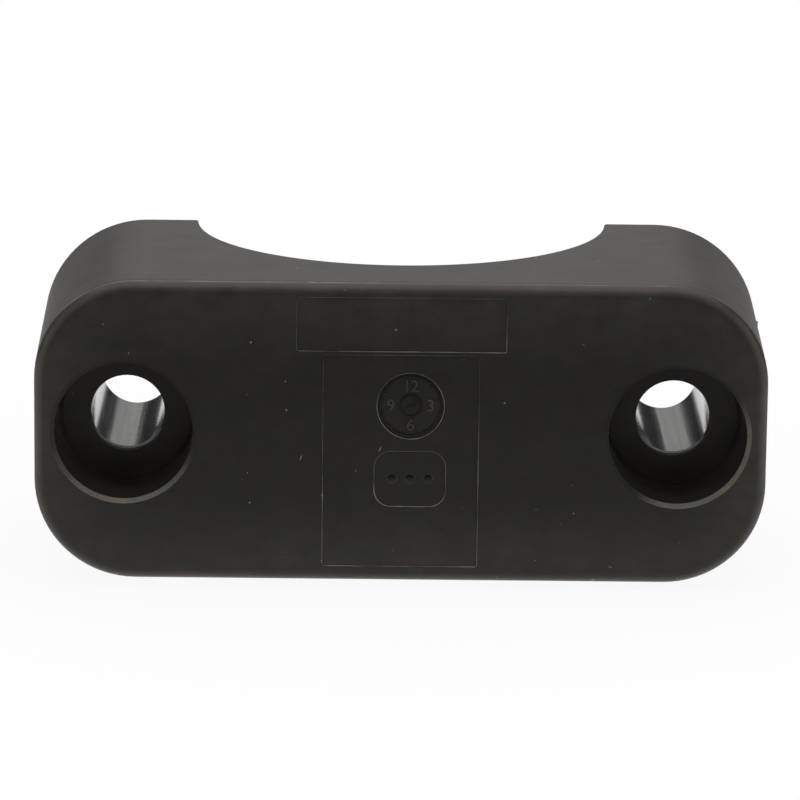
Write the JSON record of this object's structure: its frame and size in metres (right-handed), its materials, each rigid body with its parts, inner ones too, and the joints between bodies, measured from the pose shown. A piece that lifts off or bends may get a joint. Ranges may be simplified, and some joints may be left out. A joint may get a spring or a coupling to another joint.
{
  "type": "hydraulic tube clamp half",
  "caption": "Rounded plastic half of a bolted tube clamp, with a ribbed half-round tube seat and steel-sleeved bolt holes in deep round recesses.",
  "frame": {"origin": "on the axis of the clamped tube, half way along the width of the jaw", "axes": "+Z along the tube and up, so the jaw stands on a long side wall; +X from the left bolt to the right bolt; +Y out of the parting face and -Y out of the head face"},
  "size_m": [0.0705, 0.0283, 0.03],
  "materials": {
    "black_polypropylene": "moulded, fine matte texture",
    "sleeve_steel": "drawn and smooth, zinc plated"
  },
  "bodies": {
    "root": {"clamp_jaw": "black_polypropylene", "left_bolt_sleeve": "sleeve_steel", "right_bolt_sleeve": "sleeve_steel"}
  },
  "joints": []
}
